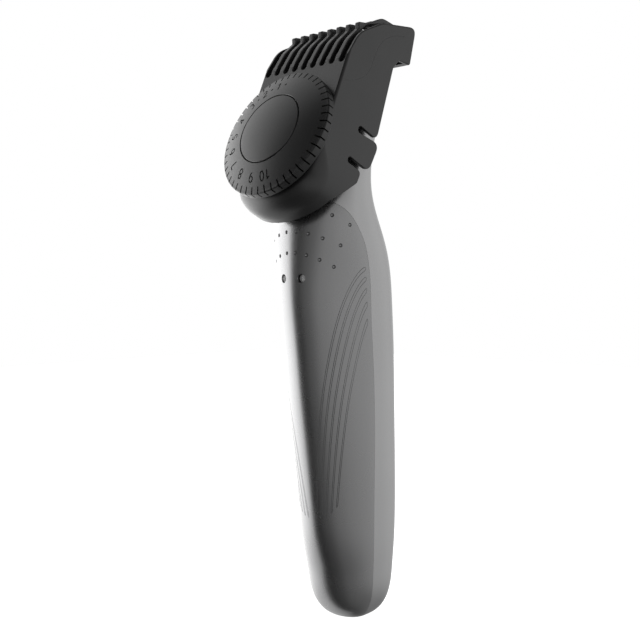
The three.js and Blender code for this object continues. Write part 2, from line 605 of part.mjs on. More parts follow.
makeShells();
makeSocket();
makePower();
makeChassis();
makeDrive();
makeButton();
makeBlade();
makeDial();
makePinion();
makeCarrier();
makeHood();
makeDetent();

export default trimmer;
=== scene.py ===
# Looks of the beard trimmer: fine shells, comb hood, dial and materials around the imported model.
# Shapes are drawn in millimetres. The handle's are in the model's own frame, and the dial's and the
# hood's are in the head frame, which is tilted back about the dial's centre.
import json
import math
import bmesh
import bpy
import numpy as np
from mathutils import Matrix, Vector


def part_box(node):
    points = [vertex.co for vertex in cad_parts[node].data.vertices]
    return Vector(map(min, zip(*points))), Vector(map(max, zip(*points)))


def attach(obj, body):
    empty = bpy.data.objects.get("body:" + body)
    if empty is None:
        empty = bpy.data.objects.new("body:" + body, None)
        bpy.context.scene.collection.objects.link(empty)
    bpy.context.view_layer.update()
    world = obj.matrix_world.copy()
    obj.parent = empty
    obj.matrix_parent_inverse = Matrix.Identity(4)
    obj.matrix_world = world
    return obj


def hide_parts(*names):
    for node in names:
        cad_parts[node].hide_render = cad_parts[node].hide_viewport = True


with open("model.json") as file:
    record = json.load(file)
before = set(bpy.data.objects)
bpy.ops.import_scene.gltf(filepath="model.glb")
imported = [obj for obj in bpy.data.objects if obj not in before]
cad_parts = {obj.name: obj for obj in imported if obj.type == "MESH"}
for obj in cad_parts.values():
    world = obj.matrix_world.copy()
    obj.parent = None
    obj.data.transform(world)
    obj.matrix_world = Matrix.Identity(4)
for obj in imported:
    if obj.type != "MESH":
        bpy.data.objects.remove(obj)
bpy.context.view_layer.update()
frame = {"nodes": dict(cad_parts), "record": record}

MM = 0.001
FOLLOWS = 0.985

# ---- Handle: height, half width, front, widest line and rear of each horizontal section --------
HANDLE_SECTIONS = [
    (18, 13.6, -15.8, -3.8, 12.7), (26, 14.0, -18.0, -4.2, 13.4), (34, 14.2, -19.4, -4.6, 13.7),
    (48, 14.6, -21.3, -5.4, 13.4), (61, 15.0, -23.1, -6.2, 12.8), (74, 15.4, -25.0, -6.9, 12.1),
    (94, 15.9, -27.5, -8.0, 11.0), (107, 16.1, -29.1, -9.6, 10.1), (120, 16.6, -29.5, -13.0, 8.2),
    (127, 16.7, -29.5, -15.5, 5.6), (133.5, 16.3, -29.2, -16.8, 2.2), (140, 15.8, -28.3, -16.5, -0.9),
    (148, 15.3, -26.0, -14.5, -2.3), (160.8, 15.0, -20.6, -12.0, 0.4), (170, 15.0, -16.4, -9.0, 2.2),
    (187, 15.0, -9.6, -4.6, 4.6)]
FRONT_POWER = 2.0
REAR_POWER = 3.0
WALL = 1.8
RING_POINTS = 192
RING_STEP = 1.0
PROFILE_BLUR = 3.0
END_TOP = 18.0
END_POWER = 3.0
END_RUN = 10.0
END_CENTRE = 0.5
END_FLAT = 0.5
END_DROP = 0.82
END_RINGS = 22
SEAM_GAP = 0.05
SEAM = [(-4.2, -2), (-4.6, 18), (-5.2, 44), (-5.8, 65), (-7.8, 90.8), (-8.75, 101.2), (-9.5, 111.5),
        (-10.9, 119.2), (-12.5, 124.3), (-14.9, 128.6), (-17.65, 132.3), (-20.9, 135.6), (-23.7, 137.7),
        (-29, 141), (-36, 144)]

# ---- Blade unit and neck ------------------------------------------------------------------------
BLADE_CENTRE = (0, -2.5, 193.5)
BLADE_TILT = math.radians(7)
NECK_TOP = -9.0

# ---- Head, dial and comb hood --------------------------------------------------------------------
HEAD_TILT = math.radians(23.5)
DIAL_CENTRE = (0, -39, 160)
DIAL_RADIUS = 21.5
DOME_RADIUS = 58.0
DOME_APEX = -1.5
DIAL_BACK = 5.2
CAP_RADIUS = 11.7
CAP_GROOVE = 0.3
NOTCH_COUNT = 48
NOTCH_INNER = (19.2, 0.12)
NOTCH_FULL = (19.6, 0.24)
NOTCH_OUTER = (23.0, 0.24)
DIAL_EDGE = 0.55
DIAL_WEB_FRONT = 1.6
CAP_BACK = 1.3
DIAL_BACK_PROFILE = [(19.7, DIAL_BACK), (19.7, 4.1), (16, 3.4), (12, 3.2), (5, 3.2), (5, 7.5), (1.2, 7.5),
                     (1.2, 4.2), (0.05, 4.2)]
NUMERAL_RADIUS = 16.4
NUMERAL_HEIGHT = 3.0
NUMERAL_WIDTH = 1.75
NUMERAL_STEP = 20.3
NUMERAL_SPACING = 1.25
STROKE_HALF_WIDTH = 0.21
STROKE_DEPTH = 0.45
DOT_RADIUS = 0.42
HOOD_HALF = 18.4
HOOD_INNER_HALF = 17.4
HOOD_FRONT = 5.6
CHIN_RADIUS = 24.6
CHIN_WALL = 1.5
CHIN_BLEND = 12
CHIN_EDGE = 0.9
CHIN_ROUNDING = 7.0
CHIN_INNER_ROUNDING = 3.5
RIB_PITCH = 4.0
RIB_WIDTH = 1.9
SLOT_COUNT = 9
SLOT_BOTTOM = 25.0
WINDOW_BOTTOM = 28.4
WINDOW_REAR = 28.6
OUTER_SLOT_HALF = 1.2
OUTER_SLOT_SHIFT = 0.2
CHIN_EDGE_REACH = 13
RAIL_X = (13.2, 14.8)
RAIL_Y = (7.2, 10.6)
RAIL_Z = (-8, 22)
BOSS_HOLE_RADIUS = 5.4

IDENTITY = Matrix.Identity(4)
HEAD_FRAME = Matrix.Translation(DIAL_CENTRE) @ Matrix.Rotation(-HEAD_TILT, 4, "X")
BLADE_FRAME = Matrix.Translation(BLADE_CENTRE) @ Matrix.Rotation(BLADE_TILT, 4, "X")


# ---- Curves ---------------------------------------------------------------------------------------
def natural_spline(knots, values, at):
    """A natural cubic spline through values at knots, read off at the places in at."""
    knots, values, at = (np.asarray(a, float) for a in (knots, values, at))
    step = np.diff(knots)
    slope = np.diff(values) / step
    count = len(knots)
    system = np.eye(count)
    target = np.zeros(count)
    for i in range(1, count - 1):
        system[i, i - 1:i + 2] = step[i - 1], 2 * (step[i - 1] + step[i]), step[i]
        target[i] = 6 * (slope[i] - slope[i - 1])
    bend = np.linalg.solve(system, target)
    i = np.clip(np.searchsorted(knots, at) - 1, 0, count - 2)
    left, right = at - knots[i], knots[i + 1] - at
    return ((bend[i] * right ** 3 + bend[i + 1] * left ** 3) / (6 * step[i])
            + (values[i] / step[i] - bend[i] * step[i] / 6) * right
            + (values[i + 1] / step[i] - bend[i + 1] * step[i] / 6) * left)


def curve_through(points, spacing):
    """A smooth curve through points, as points about spacing apart."""
    points = np.asarray(points, float)
    along = np.concatenate([[0], np.cumsum(np.linalg.norm(np.diff(points, axis=0), axis=1))])
    at = np.linspace(0, along[-1], int(along[-1] / spacing) + 2)
    return np.column_stack([natural_spline(along, column, at) for column in points.T])


def spaced(points, spacing, closed):
    """The same path with points an even distance apart."""
    points = np.asarray(points, float)
    if closed:
        points = np.vstack([points, points[:1]])
    along = np.concatenate([[0], np.cumsum(np.linalg.norm(np.diff(points, axis=0), axis=1))])
    count = max(4, int(round(along[-1] / spacing)))
    at = np.linspace(0, along[-1], count, endpoint=not closed)
    return np.column_stack([np.interp(at, along, column) for column in points.T])


def rounded_outline(corners, steps=10):
    """A closed outline whose corners (u, v, radius) are rounded where a radius is given."""
    points = []
    count = len(corners)
    for i, corner in enumerate(corners):
        here = np.array(corner[:2], float)
        radius = corner[2] if len(corner) > 2 else 0
        if radius == 0:
            points.append(here)
            continue
        before = np.array(corners[i - 1][:2], float) - here
        after = np.array(corners[(i + 1) % count][:2], float) - here
        before /= np.linalg.norm(before)
        after /= np.linalg.norm(after)
        half_angle = math.acos(float(np.clip(before @ after, -1, 1))) / 2
        reach = radius / math.tan(half_angle)
        start, end = here + before * reach, here + after * reach
        for t in np.linspace(0, 1, steps + 1):
            points.append((1 - t) ** 2 * start + 2 * t * (1 - t) * here + t ** 2 * end)
    return np.array(points)


# ---- Solids ---------------------------------------------------------------------------------------
def make_object(name, vertices, faces):
    mesh = bpy.data.meshes.new(name)
    mesh.from_pydata([tuple(v) for v in vertices], [], [tuple(f) for f in faces])
    shape = bmesh.new()
    shape.from_mesh(mesh)
    bmesh.ops.recalc_face_normals(shape, faces=shape.faces)
    shape.to_mesh(mesh)
    shape.free()
    obj = bpy.data.objects.new(name, mesh)
    bpy.context.scene.collection.objects.link(obj)
    return obj


def loft(name, rings, closed=False):
    """A skin through rings with the same number of points, capped at both ends or closed on itself."""
    rings = np.asarray(rings, float)
    ring_count, count = rings.shape[:2]
    faces = []
    for r in range(ring_count if closed else ring_count - 1):
        a, b = r * count, ((r + 1) % ring_count) * count
        for i in range(count):
            j = (i + 1) % count
            faces.append((a + i, a + j, b + j, b + i))
    if not closed:
        faces.append(tuple(range(count)))
        faces.append(tuple(range((ring_count - 1) * count, ring_count * count)))
    return make_object(name, rings.reshape(-1, 3), faces)


def prism(name, outline, low, high, axis, rim_low=0.0, rim_high=0.0, rim_steps=4):
    """An outline pushed along an axis. A rim rounds an end's edge inwards; a negative rim flares it out."""
    outline = np.asarray(outline, float)
    area = np.sum(outline[:, 0] * np.roll(outline[:, 1], -1) - outline[:, 1] * np.roll(outline[:, 0], -1))
    if area < 0:
        outline = outline[::-1]
        rim_low = rim_low[::-1] if np.ndim(rim_low) else rim_low
        rim_high = rim_high[::-1] if np.ndim(rim_high) else rim_high
    forward = np.roll(outline, -1, 0) - outline
    forward /= np.linalg.norm(forward, axis=1)[:, None]
    inward = np.column_stack([-forward[:, 1], forward[:, 0]])
    inward = inward + np.roll(inward, 1, 0)
    inward /= np.maximum((inward ** 2).sum(1), 0.6)[:, None] / 2
    rings = []
    for end, rim, sign in ((low, rim_low, 1), (high, rim_high, -1)):
        flat = not np.any(rim)
        angles = [math.pi / 2] if flat else np.linspace(0, math.pi / 2, rim_steps + 1)
        rim = np.broadcast_to(np.asarray(rim, float), (len(outline),))
        levels = []
        for angle in angles:
            inset = rim * (1 - math.sin(angle))
            depth = end + sign * np.abs(rim) * (1 - math.cos(angle))
            levels.append(np.column_stack([outline + inward * inset[:, None], depth]))
        rings += levels if sign > 0 else levels[::-1]
    order = {"x": (2, 0, 1), "y": (0, 2, 1), "z": (0, 1, 2)}[axis]
    return loft(name, [ring[:, order] for ring in rings])


def block(name, low, high):
    (x0, y0, z0), (x1, y1, z1) = low, high
    return prism(name, [(x0, y0), (x1, y0), (x1, y1), (x0, y1)], z0, z1, "z")


def lathe(name, profile, steps=240):
    """A profile of (radius, height) turned about the y axis; it starts and ends on the axis."""
    angles = np.linspace(0, 2 * math.pi, steps, endpoint=False)
    inner = [p for p in profile if p[0] > 0]
    rings = [[(r * math.sin(a), h, r * math.cos(a)) for a in angles] for r, h in inner]
    return loft(name, rings)


def tube(points, normals, half_width, depth, closed, sides=8):
    """Vertices and faces of a rod along points that lies in a surface with the given normals."""
    points, normals = np.asarray(points, float), np.asarray(normals, float)
    if closed:
        along = np.roll(points, -1, 0) - np.roll(points, 1, 0)
    else:
        along = np.gradient(points, axis=0)
    along /= np.linalg.norm(along, axis=1)[:, None]
    across = np.cross(along, normals)
    across /= np.linalg.norm(across, axis=1)[:, None]
    angles = np.linspace(0, 2 * math.pi, sides, endpoint=False)
    rings = [points + normals * (depth * math.cos(a)) + across * (half_width * math.sin(a)) for a in angles]
    vertices = np.stack(rings, 1).reshape(-1, 3)
    count = len(points)
    faces = []
    for r in range(count if closed else count - 1):
        a, b = r * sides, ((r + 1) % count) * sides
        faces += [(a + i, a + (i + 1) % sides, b + (i + 1) % sides, b + i) for i in range(sides)]
    if not closed:
        faces += [tuple(range(sides)), tuple(range((count - 1) * sides, count * sides))]
    return vertices, faces


def ball(centre, radius, rings=10, sides=16):
    vertices = [(0, 0, -1)]
    for i in range(1, rings):
        angle = math.pi * i / rings
        for j in range(sides):
            turn = 2 * math.pi * j / sides
            level = math.sin(angle)
            vertices.append((level * math.cos(turn), level * math.sin(turn), -math.cos(angle)))
    vertices.append((0, 0, 1))
    top = len(vertices) - 1
    faces = []
    for j in range(sides):
        k = (j + 1) % sides
        faces.append((0, 1 + k, 1 + j))
        for i in range(rings - 2):
            a, b = 1 + i * sides, 1 + (i + 1) * sides
            faces.append((a + j, a + k, b + k, b + j))
        faces.append((top, top - sides + j, top - sides + k))
    return np.array(vertices) * radius + np.array(centre), faces


def together(name, pieces):
    """One object from several (vertices, faces) that don't touch each other."""
    vertices, faces = [], []
    for piece_vertices, piece_faces in pieces:
        start = sum(len(v) for v in vertices)
        vertices.append(piece_vertices)
        faces += [tuple(start + i for i in face) for face in piece_faces]
    return make_object(name, np.vstack(vertices), faces)


def combine(target, tool, operation, solver="MANIFOLD"):
    """Cuts tool from target ('DIFFERENCE'), joins them ('UNION') or keeps what they share ('INTERSECT').
    The exact solver takes tools that cross themselves."""
    modifier = target.modifiers.new("combine", "BOOLEAN")
    modifier.operation = operation
    modifier.solver = solver
    modifier.use_self = solver == "EXACT"
    modifier.object = tool
    depsgraph = bpy.context.evaluated_depsgraph_get()
    result = bpy.data.meshes.new_from_object(target.evaluated_get(depsgraph))
    if not result.polygons:
        raise RuntimeError(f"{operation} of {target.name} and {tool.name} left nothing")
    target.modifiers.clear()
    old = target.data
    target.data = result
    bpy.data.meshes.remove(old)
    bpy.data.meshes.remove(tool.data)
    return target


def copy_of(obj):
    other = obj.copy()
    other.data = obj.data.copy()
    bpy.context.scene.collection.objects.link(other)
    return other


def take_normals(obj, clean):
    """Shades obj like the uncut shape clean wherever its faces still follow that shape."""
    own = np.empty(len(obj.data.loops) * 3)
    obj.data.corner_normals.foreach_get("vector", own)
    modifier = obj.modifiers.new("normals", "DATA_TRANSFER")
    modifier.object = clean
    modifier.use_loop_data = True
    modifier.data_types_loops = {"CUSTOM_NORMAL"}
    modifier.loop_mapping = "POLYINTERP_NEAREST"
    evaluated = obj.evaluated_get(bpy.context.evaluated_depsgraph_get()).data
    smooth = np.empty(len(evaluated.loops) * 3)
    evaluated.corner_normals.foreach_get("vector", smooth)
    obj.modifiers.clear()
    flat = np.empty(len(obj.data.polygons) * 3)
    obj.data.polygons.foreach_get("normal", flat)
    sizes = np.empty(len(obj.data.polygons), int)
    obj.data.polygons.foreach_get("loop_total", sizes)
    own, smooth, flat = own.reshape(-1, 3), smooth.reshape(-1, 3), np.repeat(flat.reshape(-1, 3), sizes, 0)
    follows = (smooth * flat).sum(1) > FOLLOWS
    obj.data.normals_split_custom_set(np.where(follows[:, None], smooth, own))
    bpy.data.meshes.remove(clean.data)


def settle(obj, place, body, material, nodes, sharp=30, clean=None):
    """Puts a finished piece in its place in metres, on its body, instead of its CAD nodes."""
    obj.data.transform(Matrix.Scale(MM, 4) @ place)
    obj.data.materials.clear()
    obj.data.materials.append(material)
    obj.data.polygons.foreach_set("material_index", [0] * len(obj.data.polygons))
    obj.data.shade_smooth()
    obj.data.set_sharp_from_angle(angle=math.radians(sharp))
    weighted = obj.modifiers.new("weighted", "WEIGHTED_NORMAL")
    weighted.keep_sharp = True
    weighted.weight = 100
    depsgraph = bpy.context.evaluated_depsgraph_get()
    finished = bpy.data.meshes.new_from_object(obj.evaluated_get(depsgraph))
    obj.modifiers.clear()
    obj.data = finished
    if clean:
        clean.data.transform(Matrix.Scale(MM, 4) @ place)
        clean.data.shade_smooth()
        take_normals(obj, clean)
    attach(obj, body)
    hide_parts(*nodes)
    return obj


# ---- Materials ------------------------------------------------------------------------------------
def new_material(name):
    material = bpy.data.materials.new(name)
    material.use_nodes = True
    nodes, links = material.node_tree.nodes, material.node_tree.links
    return material, nodes, links, nodes["Principled BSDF"]


def noise(nodes, links, scale, detail=3.0, stretch=(1, 1, 1)):
    """Noise fixed to the piece, with scale in features per metre."""
    place = nodes.new("ShaderNodeTexCoord")
    mapping = nodes.new("ShaderNodeMapping")
    mapping.inputs["Scale"].default_value = stretch
    texture = nodes.new("ShaderNodeTexNoise")
    texture.inputs["Scale"].default_value = scale
    texture.inputs["Detail"].default_value = detail
    links.new(place.outputs["Object"], mapping.inputs["Vector"])
    links.new(mapping.outputs["Vector"], texture.inputs["Vector"])
    return texture.outputs["Fac"]


def spread(nodes, links, value, low, high):
    """Maps the middle of a noise onto low to high."""
    ramp = nodes.new("ShaderNodeMapRange")
    ramp.inputs["From Min"].default_value = 0.3
    ramp.inputs["From Max"].default_value = 0.7
    ramp.inputs["To Min"].default_value = low
    ramp.inputs["To Max"].default_value = high
    links.new(value, ramp.inputs["Value"])
    return ramp.outputs["Result"]


def shade_between(nodes, links, value, dark, light):
    mix = nodes.new("ShaderNodeMix")
    mix.data_type = "RGBA"
    mix.inputs["A"].default_value = (*dark, 1)
    mix.inputs["B"].default_value = (*light, 1)
    links.new(value, mix.inputs["Factor"])
    return mix.outputs["Result"]


def surface_material(name, colour, contrast, metallic, roughness, grain, grain_depth, stretch=(1, 1, 1)):
    """A moulded, painted or ground surface: its colour, roughness and height all follow fine noise."""
    material, nodes, links, shader = new_material(name)
    fine = noise(nodes, links, grain, 4.0, stretch)
    cloud = noise(nodes, links, 60, 2.0)
    dark = tuple(c * (1 - contrast) for c in colour)
    light = tuple(min(1, c * (1 + contrast)) for c in colour)
    links.new(shade_between(nodes, links, spread(nodes, links, fine, 0, 1), dark, light),
              shader.inputs["Base Color"])
    links.new(spread(nodes, links, cloud, roughness - 0.02, roughness + 0.02), shader.inputs["Roughness"])
    shader.inputs["Metallic"].default_value = metallic
    bump = nodes.new("ShaderNodeBump")
    bump.inputs["Strength"].default_value = 1.0
    bump.inputs["Distance"].default_value = grain_depth
    links.new(fine, bump.inputs["Height"])
    links.new(bump.outputs["Normal"], shader.inputs["Normal"])
    return material, shader


def make_materials():
    grey = surface_material("satin_grey_paint", (0.24, 0.24, 0.242), 0.06, 0.9, 0.27, 9000, 5e-7)
    pale = surface_material("light_grey_paint", (0.33, 0.33, 0.332), 0.06, 0.9, 0.3, 9000, 5e-7)
    black = surface_material("matte_black_plastic", (0.011, 0.011, 0.0112), 0.12, 0, 0.37, 5000, 8e-6)
    dark = surface_material("dark_plastic", (0.018, 0.018, 0.019), 0.1, 0, 0.45, 4000, 5e-6)
    white = surface_material("natural_acetal", (0.66, 0.66, 0.63), 0.03, 0, 0.4, 2500, 3e-6)
    rubber = surface_material("black_rubber", (0.015, 0.015, 0.015), 0.1, 0, 0.8, 3000, 8e-6)
    steel = surface_material("ground_steel", (0.5, 0.51, 0.52), 0.1, 1, 0.28, 4000, 2e-6, (0.08, 1, 1))
    brass = surface_material("contact_brass", (0.7, 0.5, 0.2), 0.06, 1, 0.3, 3000, 1e-6)
    board = surface_material("solder_mask", (0.015, 0.11, 0.045), 0.15, 0, 0.45, 1500, 4e-6)
    sleeve = surface_material("cell_sleeve", (0.03, 0.1, 0.33), 0.05, 0, 0.35, 600, 3e-6)
    lens = surface_material("light_pipe", (0.5, 0.5, 0.5), 0.03, 0, 0.18, 1500, 1e-6)
    lens[1].inputs["Transmission Weight"].default_value = 0.3
    lens[1].inputs["Coat Weight"].default_value = 0.5
    names = ("satin_grey", "light_grey", "black_matte", "dark_plastic", "white_plastic", "rubber", "steel",
             "brass", "board_green", "cell_sleeve", "lens_clear")
    made = (grey, pale, black, dark, white, rubber, steel, brass, board, sleeve, lens)
    return {name: pair[0] for name, pair in zip(names, made)}


def paint_cad_nodes(materials):
    """Every CAD node takes the material of its slot in the record."""
    for part in frame["record"]["subparts"]:
        mesh = frame["nodes"][part["node"]].data
        mesh.materials.clear()
        mesh.materials.append(materials[part["material_slot"]])


# ---- Handle ---------------------------------------------------------------------------------------
class Profile:
    """The handle's half width, front, widest line and rear as smooth functions of height."""

    def __init__(self):
        table = np.array(HANDLE_SECTIONS, float)
        self.heights = np.arange(table[0, 0], table[-1, 0] + RING_STEP / 2, RING_STEP)
        reach = int(3 * PROFILE_BLUR / RING_STEP)
        kernel = np.exp(-0.5 * (np.arange(-reach, reach + 1) * RING_STEP / PROFILE_BLUR) ** 2)
        kernel /= kernel.sum()
        self.values = []
        for column in table[:, 1:].T:
            fine = natural_spline(table[:, 0], column, self.heights)
            padded = np.pad(fine, reach, mode="reflect", reflect_type="odd")
            self.values.append(np.convolve(padded, kernel, "valid"))

    def at(self, height):
        return [float(np.interp(height, self.heights, value)) for value in self.values]

    def below_end(self, height):
        """Carries the profile on below the lowest section, with a slope that dies away."""
        drop = END_RUN * (1 - math.exp((height - END_TOP) / END_RUN))
        return [value[0] - (value[2] - value[0]) / (2 * RING_STEP) * drop for value in self.values]


profile = Profile()


def section_ring(height, half, front, wide, rear, inset):
    angles = np.linspace(0, 2 * math.pi, RING_POINTS, endpoint=False)
    cosine, sine = np.cos(angles), np.sin(angles)
    power = np.where(sine < 0, FRONT_POWER, REAR_POWER)
    depth = np.where(sine < 0, wide - front, rear - wide) - inset
    radius = ((np.abs(cosine) / (half - inset)) ** power + (np.abs(sine) / depth) ** power) ** (-1 / power)
    return np.column_stack([radius * cosine, wide + radius * sine, np.full(RING_POINTS, height)])


def end_rings(inset):
    """The rounded lower end: the lowest section shrinks towards its middle along a superellipse."""
    start = math.asin(END_FLAT ** (END_POWER / 2))
    rings = []
    for angle in np.linspace(start, math.pi / 2, END_RINGS, endpoint=False):
        scale = math.sin(angle) ** (2 / END_POWER)
        rise = (END_TOP + END_DROP) * (1 - math.cos(angle) ** (2 / END_POWER)) - END_DROP
        height = max(0.0, rise) + inset
        half, front, wide, rear = profile.below_end(height)
        middle = front + (rear - front) * END_CENTRE
        if half * scale > 2 * inset and height < END_TOP - 0.2:
            ends = [middle + (y - middle) * scale for y in (front, wide, rear)]
            rings.append(section_ring(height, half * scale, *ends, inset))
    return rings


def handle_body(name, inset):
    upper = [section_ring(z, *profile.at(z), inset) for z in profile.heights]
    return loft(name, end_rings(inset) + upper)


def front_point(height, angle):
    """A point and outward normal on the handle's front half, at an angle from the side towards the front."""
    half, front, wide, _ = profile.at(height)
    depth = wide - front
    point = np.array([half * math.cos(angle), wide - depth * math.sin(angle), height])
    normal = np.array([math.cos(angle) / half, -math.sin(angle) / depth, 0])
    return point, normal / np.linalg.norm(normal)


def front_of_seam(name, shift):
    """Everything in front of the seam between the shells, moved by shift."""
    seam = curve_through(SEAM, 1.0) + shift
    outline = np.vstack([seam, [(-80, 150)], [(-80, -6)], [(seam[0, 0], -6)]])
    return prism(name, outline, -30, 30, "x")


# Five engraved loops on each side, from the seam down to an arc low on the front.
LOOP_TIPS = (117.7, 114.6, 111.0, 106.7, 101.3)
LOOP_TOP_DROP = (1.2, 1.3, 1.4, 1.8, 2.1)
LOOP_ARC_LOW = 35.2
LOOP_ARC_RISE = 4.7
LOOP_FIRST_END = 83.0
LOOP_LAST_END = 53.0
LOOP_HALF_GAP = 1.0
LOOP_START = 0.5
LOOP_INNER_START = 0.8
LOOP_START_STEP = 1.2
LOOP_POWER = 0.40
LOOP_POWER_STEP = 0.0138
LOOP_EASE = 0.005
LOOP_EASE_STEP = 0.00375
LOOP_HALF_WIDTH = 0.085
LOOP_DEPTH = 0.12


def loop_line(top, top_angle, end_angle, power, ease):
    """One long side of a loop, as heights and angles from the seam to the low arc."""
    share = (LOOP_FIRST_END - end_angle) / (LOOP_FIRST_END - LOOP_LAST_END)
    bottom = LOOP_ARC_LOW + LOOP_ARC_RISE * max(0.0, share) ** 2
    t = np.linspace(0, 1, 120) ** 2
    rise = ((t + ease) ** power - ease ** power) / ((1 + ease) ** power - ease ** power)
    return np.column_stack([top + (bottom - top) * t, top_angle + (end_angle - top_angle) * rise])


def engraved_loops():
    pieces = []
    for k, (tip, drop) in enumerate(zip(LOOP_TIPS, LOOP_TOP_DROP)):
        end = LOOP_FIRST_END + (LOOP_LAST_END - LOOP_FIRST_END) * k / (len(LOOP_TIPS) - 1)
        power, ease = LOOP_POWER + LOOP_POWER_STEP * k * k, LOOP_EASE + LOOP_EASE_STEP * k
        outer_start, inner_start = (start + LOOP_START_STEP * k for start in (LOOP_START, LOOP_INNER_START))
        outer = loop_line(tip, outer_start, end + LOOP_HALF_GAP, power, ease)
        inner = loop_line(tip - drop, inner_start, end - LOOP_HALF_GAP, power, ease)
        path = np.vstack([outer, inner[::-1]])
        for side in (-1, 1):
            found = [front_point(z, math.radians(angle)) for z, angle in path]
            points = spaced([p for p, _ in found], 0.6, True) * (side, 1, 1)
            points = (np.roll(points, 1, 0) + 2 * points + np.roll(points, -1, 0)) / 4
            normals = []
            for x, _, z in points:
                half = profile.at(z)[0]
                normals.append(front_point(z, math.acos(min(1.0, abs(x) / half)))[1] * (side, 1, 1))
            pieces.append(tube(points, normals, LOOP_HALF_WIDTH, LOOP_DEPTH, True))
    return together("loop_cutters", pieces)


# Two rows of dimples and a short upper row, as (x, height) on the right half, and the indicator windows.
DIMPLES = [(2.13, 128.7), (6.45, 127.9), (10.63, 126.4), (14.43, 124.2), (1.84, 122.0), (5.82, 121.2),
           (9.57, 119.7), (12.69, 117.5), (16.0, 130.7), (12.9, 133.6)]
DIMPLE_RADIUS = 0.66
DIMPLE_OUT = 0.2
WINDOW_X = 3.82
WINDOW_HEIGHT = 113.9
WINDOW_RADIUS = 1.25


def dimples():
    pieces = []
    for x, z in DIMPLES:
        for side in (-1, 1):
            half = profile.at(z)[0]
            point, normal = front_point(z, math.acos(min(1.0, x / half)))
            centre = (point + normal * DIMPLE_OUT) * (side, 1, 1)
            pieces.append(ball(centre, DIMPLE_RADIUS))
    return together("dimple_cutters", pieces)


def window_cutters(radius):
    circle = np.linspace(0, 2 * math.pi, 32, endpoint=False)
    pieces = []
    for side in (-1, 1):
        point, normal = front_point(WINDOW_HEIGHT, math.acos(WINDOW_X / profile.at(WINDOW_HEIGHT)[0]))
        middle = point * (side, 1, 1)
        outward = Vector(normal * (side, 1, 1))
        turn = outward.to_track_quat("Z", "Y").to_matrix()
        rings = []
        for depth, scale in ((-4, 1), (-0.3, 1), (-0.05, 1.12), (1.5, 1.6)):
            ring = [turn @ Vector((radius * scale * math.cos(a), radius * scale * math.sin(a), depth))
                    for a in circle]
            rings.append([np.array(p) + middle for p in ring])
        count = len(circle)
        vertices = np.array(rings).reshape(-1, 3)
        faces = [tuple(range(count)), tuple(range(3 * count, 4 * count))]
        for r in range(3):
            faces += [(r * count + i, r * count + (i + 1) % count, (r + 1) * count + (i + 1) % count,
                       (r + 1) * count + i) for i in range(count)]
        pieces.append((vertices, faces))
    return together("window_cutters", pieces)


def above_neck():
    cutter = block("above_neck", (-30, -40, NECK_TOP), (30, 40, 60))
    cutter.data.transform(BLADE_FRAME)
    return cutter


def make_shells(materials):
    shell = handle_body("shell", 0)
    combine(shell, handle_body("cavity", WALL), "DIFFERENCE")
    combine(shell, above_neck(), "DIFFERENCE")
    front = combine(copy_of(shell), front_of_seam("front_region", -SEAM_GAP / 2), "INTERSECT")
    combine(front, engraved_loops(), "DIFFERENCE")
    combine(front, dimples(), "DIFFERENCE")
    combine(front, window_cutters(WINDOW_RADIUS), "DIFFERENCE")
    front.name = "front_shell_skin"
    rear = combine(shell, front_of_seam("rear_region", SEAM_GAP / 2), "DIFFERENCE")
    low, high = (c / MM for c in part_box("charging_socket"))
    gap = Vector((0.25, 0.25, 0.25))
    socket = block("socket_cutter", (low - gap).to_tuple(), (high + gap).to_tuple())
    combine(rear, socket, "DIFFERENCE")
    seal_low, seal_high = (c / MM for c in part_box("button_seal"))
    radius = (seal_high.x - seal_low.x) / 2 + 0.25
    middle = (seal_high.z + seal_low.z) / 2
    hole = lathe("button_cutter", [(0, 2), (radius, 2), (radius, 20), (0, 20)], 96)
    hole.data.transform(Matrix.Translation((0, 0, middle)))
    combine(rear, hole, "DIFFERENCE")
    rear.name = "rear_shell_skin"
    settle(front, IDENTITY, "handle", materials["satin_grey"], ["front_shell"],
           clean=handle_body("clean_front", 0))
    settle(rear, IDENTITY, "handle", materials["light_grey"], ["rear_shell"],
           clean=handle_body("clean_rear", 0))


def make_power_button(materials):
    low, high = (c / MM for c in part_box("power_button"))
    radius = (high.x - low.x) / 2
    middle = (high.z + low.z) / 2
    face, back = high.y, high.y - 3.9
    dish = [(r, face - 0.35 * (1 - (r / (radius - 0.5)) ** 2)) for r in np.linspace(0.05, radius - 0.5, 14)]
    rim = [(radius - 0.5 + 0.5 * math.sin(a), face - 0.5 + 0.5 * math.cos(a))
           for a in np.linspace(0.2, math.pi / 2, 6)]
    stem = [(radius, back), (1.5, back), (1.5, low.y), (0.05, low.y)]
    button = lathe("power_button_cap", dish + rim + stem, 96)
    settle(button, Matrix.Translation((0, 0, middle)), "power_button",
           materials["satin_grey"], ["power_button"])


# ---- Dial -----------------------------------------------------------------------------------------
def dome_height(radius):
    return DOME_APEX + radius ** 2 / (2 * DOME_RADIUS)


def arc_points(cx, cy, rx, ry, start, end, steps=14):
    angles = np.radians(np.linspace(start, end, steps))
    return [(cx + rx * math.cos(a), cy + ry * math.sin(a)) for a in angles]


